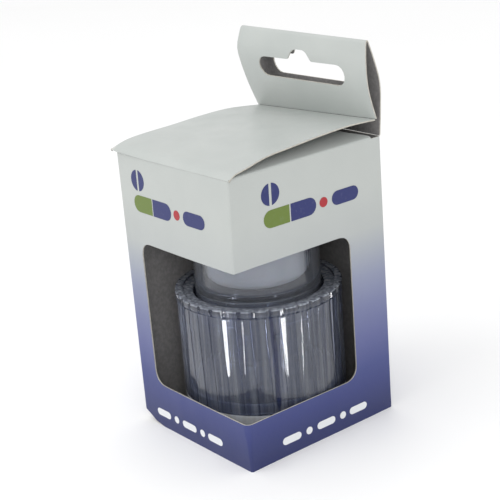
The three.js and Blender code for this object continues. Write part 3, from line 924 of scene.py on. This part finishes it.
def printed_marks(word, first, row_middle):
    """One wall's marks: first is the scored tablet's place along the wall, row_middle the foot row's."""
    def mark(name, outline, place, height, material):
        printed_mark(f"{word}_{name}", outline, (place, height), material)

    score = SCORE_HALF_ANGLE
    mark("tablet_half_a", arc((0, 0), SCORED_R, 90 + score, 270 - score, 20), first, SCORED_Z, NAVY)
    mark("tablet_half_b", arc((0, 0), SCORED_R, -90 + score, 90 - score, 20), first, SCORED_Z, NAVY)
    mark("capsule_half_a", half_capsule(-1), first + 8.5 * MM, ROW_Z, GREEN)
    mark("capsule_half_b", half_capsule(1), first + 8.5 * MM, ROW_Z, NAVY)
    mark("round_tablet", arc((0, 0), ROUND_R, 0, 350, 24), first + 24 * MM, ROW_Z, RED)
    mark("oblong_tablet", capsule(OBLONG_LONG, OBLONG_HIGH), first + 34.5 * MM, ROW_Z, NAVY)
    for index, (offset, length) in enumerate(FOOT_ROW):
        outline = capsule(length, FOOT_ROW_HIGH)
        mark(f"row_mark_{index + 1}", outline, row_middle + offset, FOOT_ROW_Z, WHITE_INK)


printed_marks("front", LEFT_END + HALF_W - 21.5 * MM, LEFT_END + HALF_W - 4.5 * MM)
printed_marks("right", FRONT_END + HALF_D - 17.8 * MM, FRONT_END + HALF_D)

# ---- Crusher ------------------------------------------------------------------------------------

FIT_GAP = 0.3 * MM
# The screwed pieces' ridges start this far inside the wall that carries them.
RIDGE_ROOT = 0.3 * MM
STEM_R = 13.2 * MM
STUD_R = 9 * MM
NECK_R = 15 * MM
NECK_WALL = 2 * MM
NECK_LOW = CUP_RIM + 2 * MM
WELL_R = HEAD_R + 0.8 * MM
WELL_WALL = 1.8 * MM
WELL_FLOOR = 47.2 * MM
CUP_FLOOR = CUP_LOW + 2.1 * MM
TOOTH_HIGH = 0.9 * MM
INNER_STEPS = 96

# The grip's wall, from its bore out to its rim.
BORE_R = 30 * MM
WALL_R = 32.1 * MM
RIM_LOW = GRIP_TOP - 2.8 * MM
SHOULDER_UNDER = GRIP_TOP - 3 * MM

# Flat panels go all round it, with a flute pressed into the wall where two panels meet.
PANELS = 36
PITCH_ANGLE = TAU / PANELS
FLUTE_AT = math.radians(6)
# Columns of vertices in one panel, in degrees from a flute's middle.
COLUMNS = (0.0, 0.8, 1.6, 2.3, 2.7, 3.8, 5.0, 7.31, 7.58, 7.83, 8.6, 9.4)
PANEL_MIDDLE = 6
PANELLED_FROM = BASE_R - 0.6 * MM
PANELLED_TO = RIM_LOW - 0.3 * MM
FLUTE_REACH = math.radians(2.75)
FLUTE_WIDE = 1.5 * MM
FLUTE_NARROW = 0.55 * MM
FLUTE_LOW = 15.6 * MM
FLUTE_HIGH = 52.4 * MM
# Depths and places within a flute are shares of its half width.
FLUTE_DEEP = 0.21
LINE_AT = -0.9
LINE_HALF = 0.1
LINE_DEEP = 0.7
SLOTTED_FROM = WALL_R - 0.65 * MM
SLOT_HALF = 0.55 * MM
SLOT_DEEP = 0.8 * MM
# One panel is set back, with a guide rib behind it and a mould mark on it.
PLAIN_PANEL = math.radians(-29)
PLAIN_INSET = 0.5 * MM
RIB_WIDE, RIB_THICK = 4.6 * MM, 1.45 * MM
RIB_R = 29.125 * MM
RIB_LOW, RIB_HIGH = SPIGOT_TOP + 0.8 * MM, FLUTE_HIGH - 0.6 * MM
MOULD_MARK_Z = 45.5 * MM


def flute_half(z):
    """The flutes taper from the rim down to their lower ends."""
    return mixed(FLUTE_NARROW, FLUTE_WIDE, eased(FLUTE_LOW, FLUTE_HIGH, z))


def panelled(r, off):
    """The turned radius r made a flat panel's, at the angle off from a flute's middle."""
    return r * math.sqrt(math.cos(PITCH_ANGLE / 2)) / math.cos(abs(off) - PITCH_ANGLE / 2)


def flute_angle(angle):
    """Signed angle from the nearest flute's middle."""
    return (angle - FLUTE_AT + PITCH_ANGLE / 2) % PITCH_ANGLE - PITCH_ANGLE / 2


def on_plain_panel(angle, margin=0.0):
    return abs((angle - PLAIN_PANEL + math.pi) % TAU - math.pi) < PITCH_ANGLE / 2 - margin


def carved(r, angle, z):
    """Moves a point of the plain turned grip to the panelled, fluted and slotted one."""
    off = flute_angle(angle)
    across = r * off
    if r > PANELLED_FROM and z < PANELLED_TO:
        r = panelled(r, off)
        half = flute_half(z)
        beyond = max(FLUTE_LOW - z, z - FLUTE_HIGH, 0.0)
        bowl = 1 - (across / half) ** 2 - (beyond / half) ** 2
        if bowl > 0:
            line = max(1 - abs(across / half - LINE_AT) / LINE_HALF, 0)
            r -= half * (FLUTE_DEEP * bowl + LINE_DEEP * line)
        if on_plain_panel(angle, half / r) and beyond == 0:
            r -= PLAIN_INSET
    elif z >= RIM_LOW and r > SLOTTED_FROM:
        r -= SLOT_DEEP * (1 - eased(SLOT_HALF * 0.6, SLOT_HALF * 1.3, abs(across)))
    return Vector((r * math.cos(angle), r * math.sin(angle), z))


def grip_outline():
    """Up the fluted wall, over the rim, down the well and the neck, and back up under the shoulder."""
    edge = 0.15 * MM
    foot = [(BORE_R + 0.2 * MM, GRIP_LOW), (WALL_R - 0.5 * MM, GRIP_LOW), (WALL_R - edge, GRIP_LOW + edge)]
    heights = [FLUTE_LOW - FLUTE_NARROW * k for k in (1.1, 0.9, 0.6, 0.3, 0)]
    heights += steps_between(FLUTE_LOW, FLUTE_HIGH, 4 * MM)
    heights += [FLUTE_HIGH + FLUTE_WIDE * k for k in (0, 0.25, 0.45, 0.6, 0.7)]
    # A narrow groove parts the wall from the rim, which rolls over to the shoulder and the well.
    rim = scaled([
        (31.5, 53.78), (31.75, 53.85), (32.4, 53.85, 0.2), (32.4, 55.0), (32.4, 56.1), (32.1, 56.4),
        (31.7, 56.5), (30.8, 56.5), (29.9, 56.5), (29.5, 56.35), (29.35, 56.0), (29.3, 55.6), (28.9, 55.45),
        (26.2, 55.45), (25.7, 55.35), (25.35, 55.0), (25.3, 54.5), (25.3, 48.0), (25.0, 47.4), (24.4, 47.2),
    ])
    neck_out, neck_top = NECK_R + NECK_WALL, WELL_FLOOR - NECK_WALL
    well_out = WELL_R + WELL_WALL
    inside = [
        (NECK_R, WELL_FLOOR, 0.4 * MM), (NECK_R, NECK_LOW, 0.2 * MM), (neck_out, NECK_LOW, 0.2 * MM),
        (neck_out, neck_top, 0.5 * MM), (well_out, neck_top, 0.5 * MM), (well_out, SHOULDER_UNDER, 0.5 * MM),
        (BORE_R, SHOULDER_UNDER, 0.6 * MM), (BORE_R, GRIP_LOW + 0.3 * MM),
    ]
    return softened(foot + [(WALL_R, z) for z in heights] + rim + inside, 0, 1)


def grip():
    columns = PANELS * len(COLUMNS)
    bm = turned(grip_outline(), columns)
    for vert in bm.verts:
        # Each column of the evenly turned wall moves to its own place in its panel.
        r = math.hypot(vert.co.x, vert.co.y)
        index = round((math.atan2(vert.co.y, vert.co.x) % TAU) / TAU * columns)
        panel, column = divmod(index, len(COLUMNS))
        nearest = panel + (column > PANEL_MIDDLE)
        offset = math.radians(COLUMNS[column]) - (nearest - panel) * PITCH_ANGLE
        if abs(offset) < FLUTE_REACH:
            offset *= flute_half(vert.co.z) / FLUTE_WIDE
        vert.co = carved(r, nearest * PITCH_ANGLE + offset + FLUTE_AT, vert.co.z)
    bm.normal_update()
    for face in bm.faces:
        middle = face.calc_center_median()
        if middle.z > RIM_LOW:
            face.material_index = int(face.normal.z > 0.7)
        elif math.hypot(middle.x, middle.y) > BORE_R + MM and on_plain_panel(math.atan2(middle.y, middle.x)):
            face.material_index = 2
    finishes = [CLEAR, CLEAR_RIM, CLEAR_PLAIN]
    finished("ribbed_grip", bm, finishes, "crusher_base", "clear_plastic", ["grip_body"], crisp=12)
    ridge = thread(NECK_R + RIDGE_ROOT, STEM_R + 0.4 * MM, 34.5 * MM, 1.8)
    finished("neck_thread", ridge, [CLEAR_INNER], "crusher_base", "clear_plastic")


def guide_rib():
    size = Matrix.Diagonal((RIB_THICK, RIB_WIDE, RIB_HIGH - RIB_LOW, 1))
    place = Matrix.Rotation(PLAIN_PANEL, 4, "Z") @ Matrix.Translation((RIB_R, 0, (RIB_LOW + RIB_HIGH) / 2))
    bm = bmesh.new()
    bmesh.ops.create_cube(bm, size=1, matrix=place @ size)
    finished("guide_rib", bm, [CLEAR_RIB], "crusher_base", "clear_plastic")


def mould_mark():
    """A small raised ring on the plain panel, turned round Z and then laid over to face out."""
    pip = scaled([(0, 0), (1.3, 0), (1.3, 0.5), (1.1, 0.8), (0.7, 0.8), (0.5, 0.5), (0, 0.5)])
    bm = turned(pip, 24)
    face_out = Matrix.Rotation(math.pi / 2, 4, "Y")
    seat = Matrix.Translation((WALL_R - PLAIN_INSET - 0.18 * MM, 0, MOULD_MARK_Z))
    bm.transform(Matrix.Rotation(PLAIN_PANEL, 4, "Z") @ seat @ face_out)
    finished("mould_mark", bm, [CLEAR], "crusher_base", "clear_plastic")


def base_cap():
    """A floor with a panelled wall, a spigot up inside the grip, and a ring that holds the cup."""
    edge, wall = 1.3 * MM, 1.8 * MM
    floor, rim = BASE_LOW + wall, GRIP_LOW - FIT_GAP
    spigot = BORE_R - FIT_GAP
    inside = spigot - 1.5 * MM
    ring, ring_out, ring_top = CUP_R + FIT_GAP, CUP_R + 1.6 * MM, floor + 3 * MM
    bm = turned(softened([
        (0, BASE_LOW), (BASE_R - edge, BASE_LOW, 0.6 * MM), (BASE_R, BASE_LOW + edge, 0.8 * MM),
        (BASE_R, rim, 0.3 * MM), (spigot, rim, 0.2 * MM), (spigot, SPIGOT_TOP, 0.3 * MM),
        (inside, SPIGOT_TOP, 0.3 * MM), (inside, floor, 0.8 * MM), (ring_out, floor, 0.3 * MM),
        (ring_out, ring_top, 0.3 * MM), (ring, ring_top, 0.3 * MM), (ring, floor, 0.1 * MM), (0, floor),
    ], 0))
    for vert in bm.verts:
        r = math.hypot(vert.co.x, vert.co.y)
        angle = math.atan2(vert.co.y, vert.co.x) + FLUTE_AT
        if r > PANELLED_FROM:
            r = panelled(r, flute_angle(angle))
        vert.co = Vector((r * math.cos(angle), r * math.sin(angle), vert.co.z))
    finished("base_cap_shell", bm, [CLEAR_BASE], "crusher_base", "clear_plastic", ["base_cap"], 8)


def toothed_ring(name, outer, z, height, material, body, slot):
    """Radial crushing teeth, ridged like a millstone, standing on z and rising by height."""
    teeth, share, inner = 16, 0.28, 2.5 * MM
    half = TAU / teeth * share
    bm = bmesh.new()
    for i in range(teeth):
        turn = Matrix.Rotation(TAU * i / teeth, 3, "Z")
        rows = []
        for r in (inner, outer):
            side, reach = r * math.sin(half), r * math.cos(half)
            rows.append([(reach, -side, z), (reach, 0, z + height), (reach, side, z)])
        a, b, c, d, e, f = (bm.verts.new(turn @ Vector(point)) for row in rows for point in row)
        for loop in ((a, b, e, d), (b, c, f, e), (c, a, d, f), (c, b, a), (d, e, f)):
            bm.faces.new(loop)
    bmesh.ops.recalc_face_normals(bm, faces=bm.faces[:])
    finished(name, bm, [material], body, slot)


def crushing_cup():
    bore = CUP_R - 1.6 * MM
    outline = softened([
        (0, CUP_LOW), (CUP_R, CUP_LOW, 0.8 * MM), (CUP_R, CUP_RIM, 0.5 * MM), (bore, CUP_RIM, 0.4 * MM),
        (bore, CUP_FLOOR, 1.0 * MM), (0, CUP_FLOOR),
    ], 0)
    bm = turned(outline, INNER_STEPS)
    finished("crushing_cup_wall", bm, [CLEAR_INNER], "crusher_base", "clear_plastic", ["crushing_cup"])
    toothed_ring(
        "crushing_cup_teeth", 14 * MM, CUP_FLOOR - 0.1 * MM, TOOTH_HIGH, CLEAR_INNER,
        "crusher_base", "clear_plastic",
    )


def presser():
    """The pressing foot under its stud, with teeth that face the cup's."""
    face, shoulder = FOOT_TIP + TOOTH_HIGH, FOOT_TIP + 5.2 * MM
    outline = softened([
        (0, face), (FOOT_R, face, 0.5 * MM), (FOOT_R, shoulder, 0.6 * MM), (STUD_R, shoulder, 0.6 * MM),
        (STUD_R, STUD_TOP, 0.8 * MM), (0, STUD_TOP),
    ], 0)
    bm = turned(outline, INNER_STEPS)
    finished("pressing_foot_body", bm, [FOOT_PLASTIC_PAINTED_SHADE], "presser", "white_plastic", ["pressing_foot"])
    toothed_ring(
        "pressing_foot_teeth", 13.8 * MM, face + 0.05 * MM, -TOOTH_HIGH, FOOT_PLASTIC_PAINTED_SHADE,
        "presser", "white_plastic",
    )


def screw_head():
    """The turning head: an outer tube on a floor, with the hollow threaded stem below it."""
    bore, stem_bore = HEAD_R - 2.3 * MM, STUD_R + 0.4 * MM
    under, floor, skirt = 56.2 * MM, 58.2 * MM, 53.4 * MM
    outline = softened([
        (0, under), (stem_bore, under, 0.4 * MM), (stem_bore, STEM_LOW, 0.3 * MM),
        (STEM_R, STEM_LOW, 0.5 * MM), (STEM_R, under, 0.5 * MM), (bore, under, 0.6 * MM),
        (bore, skirt, 0.3 * MM), (HEAD_R, skirt, 0.5 * MM), (HEAD_R, HEAD_RIM, 0.7 * MM),
        (bore, HEAD_RIM, 0.4 * MM), (bore, floor, 1.2 * MM), (0, floor),
    ], 0)
    finished("screw_top_shell", turned(outline), [CLEAR_HEAD], "screw_head", "clear_plastic", ["screw_top"])
    ridge = thread(STEM_R - RIDGE_ROOT, STEM_R + 1.4 * MM, 27 * MM, 4)
    finished("stem_thread", ridge, [CLEAR_INNER], "screw_head", "clear_plastic")


def storage_cup_and_lid():
    """The white cup in the head, hung by its flange, and its push-on lid."""
    wall = 1.2 * MM
    outside = 20.4 * MM
    inside, flange, floor = outside - wall, STORE_TOP - 1.1 * MM, STORE_LOW + wall
    outline = softened([
        (0, STORE_LOW), (outside, STORE_LOW, 6.2 * MM), (outside, flange, 0.4 * MM),
        (FLANGE_R, flange, 0.3 * MM), (FLANGE_R, STORE_TOP, 0.4 * MM), (inside, STORE_TOP, 0.4 * MM),
        (inside, floor, 5.4 * MM), (0, floor),
    ], 0, 7)
    finished("storage_cup", turned(outline), [WHITE], "screw_head", "white_plastic", ["store_cup"])
    under, dish = STORE_TOP + FIT_GAP, COVER_TOP - 0.5 * MM
    plug, plug_in, dish_r = inside - FIT_GAP, inside - FIT_GAP - wall, inside + 0.8 * MM
    outline = softened([
        (0, under), (plug_in, under, 0.3 * MM), (plug_in, PLUG_LOW, 0.2 * MM), (plug, PLUG_LOW, 0.4 * MM),
        (plug, under, 0.2 * MM), (COVER_R, under, 0.3 * MM), (COVER_R, COVER_TOP, 0.8 * MM),
        (dish_r + 0.5 * MM, COVER_TOP, 0.4 * MM), (dish_r, dish, 0.4 * MM), (0, dish),
    ], 0, 5)
    finished("storage_lid", turned(outline), [WHITE], "store_cover", "white_plastic", ["store_lid"])


grip()
guide_rib()
mould_mark()
base_cap()
crushing_cup()
presser()
screw_head()
storage_cup_and_lid()

# ---- Floor and lights ---------------------------------------------------------------------------


FLOOR_HALF = 3.0
CARTON_MIDDLE = (0, 0, 0.06)
BOX_LAMPS = (
    # name, place, aim, width, height, watts
    ("key_box", (-0.25, -0.75, 0.95), CARTON_MIDDLE, 0.8, 0.8, 3.3),
    ("fill_box", (0.75, -0.55, 0.5), CARTON_MIDDLE, 0.35, 0.35, 1.7),
)
# Two small low cards of light face the front and right windows and show only in the clear plastic.
CARD_Z = 0.016
LIGHT_CARDS = (
    ("front_card", (0.012, -0.095, CARD_Z), (0.012, 0, CARD_Z), 0.011, 0.03, 0.020),
    ("right_card", (0.092, -0.024, CARD_Z), (0, -0.024, CARD_Z), 0.007, 0.03, 0.013),
)
LIT_BY_CARDS = ("ribbed_grip", "base_cap_shell", "mould_mark")


def area_lamp(name, place, aim, width, height, power):
    data = bpy.data.lights.new(name, "AREA")
    data.shape = "RECTANGLE"
    data.size = width
    data.size_y = height
    data.energy = power
    lamp = bpy.data.objects.new(name, data)
    lamp.location = place
    lamp.rotation_euler = (Vector(aim) - Vector(place)).to_track_quat("-Z", "Y").to_euler()
    bpy.context.scene.collection.objects.link(lamp)
    return lamp


def studio():
    scene = bpy.context.scene
    scene.view_settings.view_transform = "Standard"
    scene.world = bpy.data.worlds.new("studio")
    scene.world.use_nodes = True
    background = scene.world.node_tree.nodes["Background"]
    background.inputs["Color"].default_value = (1, 1, 1, 1)
    background.inputs["Strength"].default_value = 1.0
    finish = Finish("pale_floor")
    tone = finish.blended(finish.noise(0.3, 2.0), paint(246, 246, 246), paint(250, 250, 250))
    finish.set("Base Color", tone)
    finish.set("Roughness", 0.6)
    bm = bmesh.new()
    bmesh.ops.create_grid(bm, x_segments=1, y_segments=1, size=FLOOR_HALF)
    object_of("floor", bm, [finish.material])
    clear_pieces = bpy.data.collections.new("clear_pieces")
    for name in LIT_BY_CARDS:
        clear_pieces.objects.link(bpy.data.objects[name])
    for lamp in BOX_LAMPS:
        area_lamp(*lamp)
    for card in LIGHT_CARDS:
        lamp = area_lamp(*card)
        lamp.visible_camera = False
        lamp.light_linking.receiver_collection = clear_pieces


studio()
